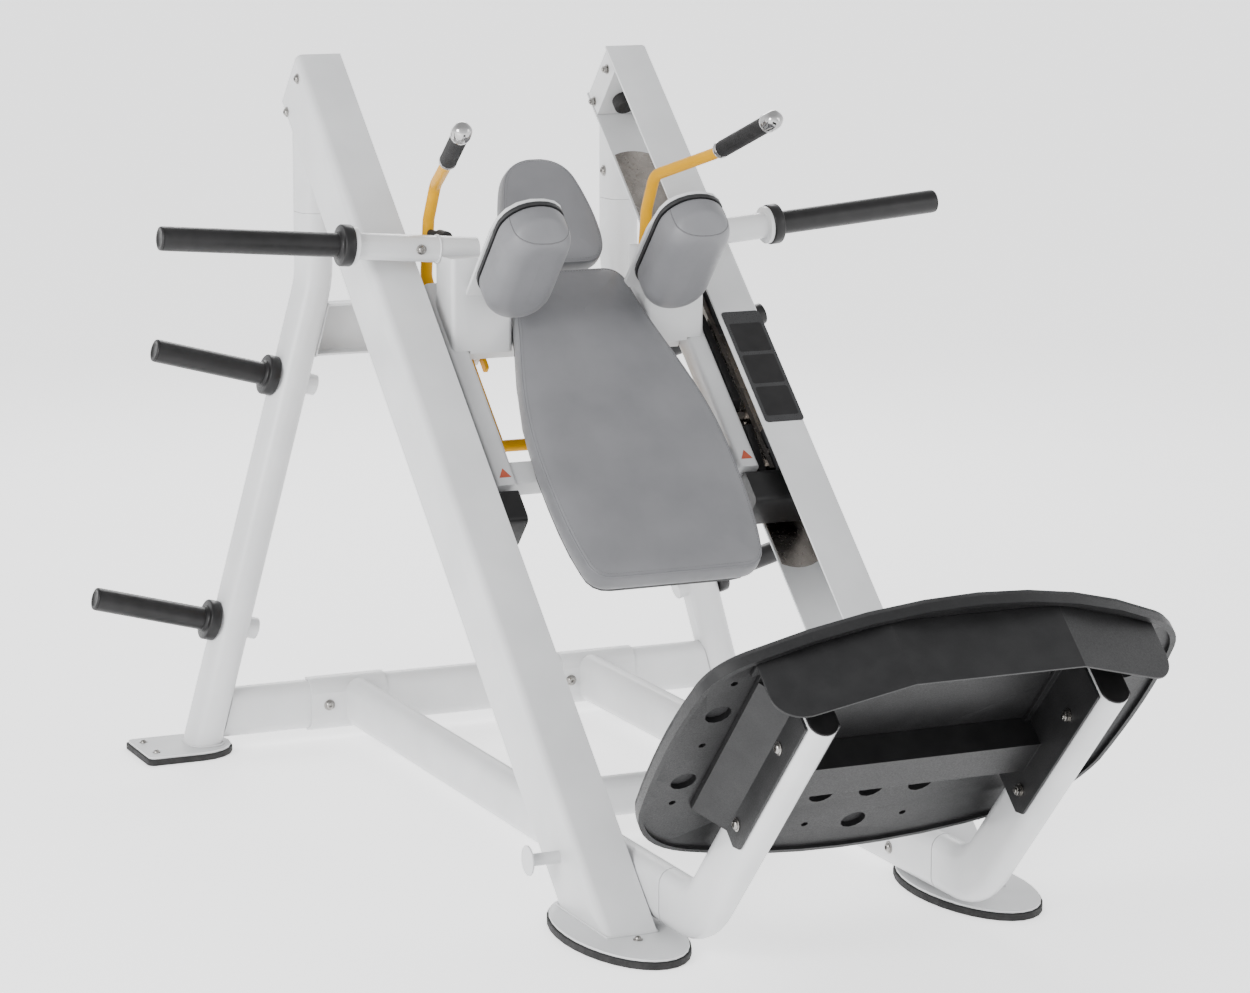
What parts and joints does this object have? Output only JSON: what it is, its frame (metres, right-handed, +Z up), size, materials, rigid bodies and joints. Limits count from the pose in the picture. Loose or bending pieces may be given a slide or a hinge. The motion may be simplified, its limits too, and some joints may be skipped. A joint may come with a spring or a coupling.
{
  "type": "hack squat machine",
  "caption": "Plate-loaded hack squat machine: a padded carriage runs on two sloping channel rails above an angled foot plate, with a release handle and storage horns.",
  "frame": {"origin": "middle of the machine's footprint, on the floor under the middle of its bounding box", "axes": "+Z up, X across the machine, -Y towards the foot plate, +Y towards the rear legs"},
  "size_m": [1.7608, 2.4628, 1.523],
  "materials": {
    "silver_paint": "silver white powder coat",
    "black_paint": "black textured powder coat",
    "deck_rubber": "textured rubber mat",
    "rubber": "matt rubber",
    "grip_rubber": "knurled rubber",
    "black_plastic": "satin black plastic",
    "board": "satin black",
    "roller": "polyurethane roller",
    "vinyl": "grey vinyl upholstery",
    "wear_steel": "polished steel",
    "yellow_paint": "yellow powder coat",
    "chrome": "bright chrome"
  },
  "bodies": {
    "frame": {"rail_left": "silver_paint", "rail_right": "silver_paint", "rear_leg_left": "silver_paint", "rear_leg_right": "silver_paint", "rear_cross_beam": "silver_paint", "upper_tie": "silver_paint", "base_beam_left": "silver_paint", "base_beam_right": "silver_paint", "middle_cross_tube": "silver_paint", "end_bracket_left": "silver_paint", "end_bracket_right": "silver_paint", "foot_arm_left": "silver_paint", "foot_arm_right": "silver_paint", "foot_bracket": "black_paint", "foot_plate_tray": "black_paint", "foot_plate_deck": "deck_rubber", "rear_foot_pad_left": "rubber", "rear_foot_pad_right": "rubber", "front_foot_pad_left": "rubber", "front_foot_pad_right": "rubber", "end_bumper_left": "rubber", "end_bumper_right": "rubber", "lower_stop_left": "rubber", "lower_stop_right": "rubber", "storage_horn_upper_left": "black_plastic", "storage_horn_upper_right": "black_plastic", "storage_horn_lower_left": "black_plastic", "storage_horn_lower_right": "black_plastic", "wear_strip_left": "wear_steel", "wear_strip_right": "wear_steel"},
    "carriage": {"carriage_beam_left": "silver_paint", "carriage_beam_right": "silver_paint", "carriage_upper_cross": "silver_paint", "carriage_lower_cross": "silver_paint", "shoulder_mount_left": "silver_paint", "shoulder_mount_right": "silver_paint", "weight_sleeve_left": "black_plastic", "weight_sleeve_right": "black_plastic", "shoulder_board_left": "board", "shoulder_board_right": "board", "shoulder_pad_left": "vinyl", "shoulder_pad_right": "vinyl", "back_board": "board", "back_pad": "vinyl", "head_post": "silver_paint", "head_pad": "vinyl", "truck_left": "wear_steel", "truck_right": "wear_steel", "guard_left": "black_plastic", "guard_right": "black_plastic"},
    "wheel_upper_left": {"wheel_upper_left": "roller"},
    "wheel_upper_right": {"wheel_upper_right": "roller"},
    "wheel_lower_left": {"wheel_lower_left": "roller"},
    "wheel_lower_right": {"wheel_lower_right": "roller"},
    "release_handle": {"release_frame": "yellow_paint", "grip_left": "grip_rubber", "grip_right": "grip_rubber", "grip_cap_left": "chrome", "grip_cap_right": "chrome", "release_stopper": "rubber"}
  },
  "joints": [
    {"name": "carriage_slide", "type": "slide", "parent": "frame", "child": "carriage", "axis": [0, -0.7361, -0.6769], "range_m": [-0.49, 0.5]},
    {"name": "wheel_upper_left_spin", "type": "hinge", "parent": "carriage", "child": "wheel_upper_left", "pos_m": [-0.357, 0.63972, 0.98117], "axis": [1, 0, 0], "range_deg": [-540, 540]},
    {"name": "wheel_upper_right_spin", "type": "hinge", "parent": "carriage", "child": "wheel_upper_right", "pos_m": [0.357, 0.63972, 0.98117], "axis": [1, 0, 0], "range_deg": [-540, 540]},
    {"name": "wheel_lower_left_spin", "type": "hinge", "parent": "carriage", "child": "wheel_lower_left", "pos_m": [-0.357, 0.31686, 0.72654], "axis": [1, 0, 0], "range_deg": [-540, 540]},
    {"name": "wheel_lower_right_spin", "type": "hinge", "parent": "carriage", "child": "wheel_lower_right", "pos_m": [0.357, 0.31686, 0.72654], "axis": [1, 0, 0], "range_deg": [-540, 540]},
    {"name": "release_turn", "type": "hinge", "parent": "carriage", "child": "release_handle", "pos_m": [0, 0.61618, 0.9329], "axis": [1, 0, 0], "range_deg": [-10, 0]}
  ],
  "couplings": [
    {"joint": "wheel_upper_left_spin", "follows": "carriage_slide", "rad_per_m": 18.182},
    {"joint": "wheel_upper_right_spin", "follows": "carriage_slide", "rad_per_m": 18.182},
    {"joint": "wheel_lower_left_spin", "follows": "carriage_slide", "rad_per_m": -18.182},
    {"joint": "wheel_lower_right_spin", "follows": "carriage_slide", "rad_per_m": -18.182}
  ]
}
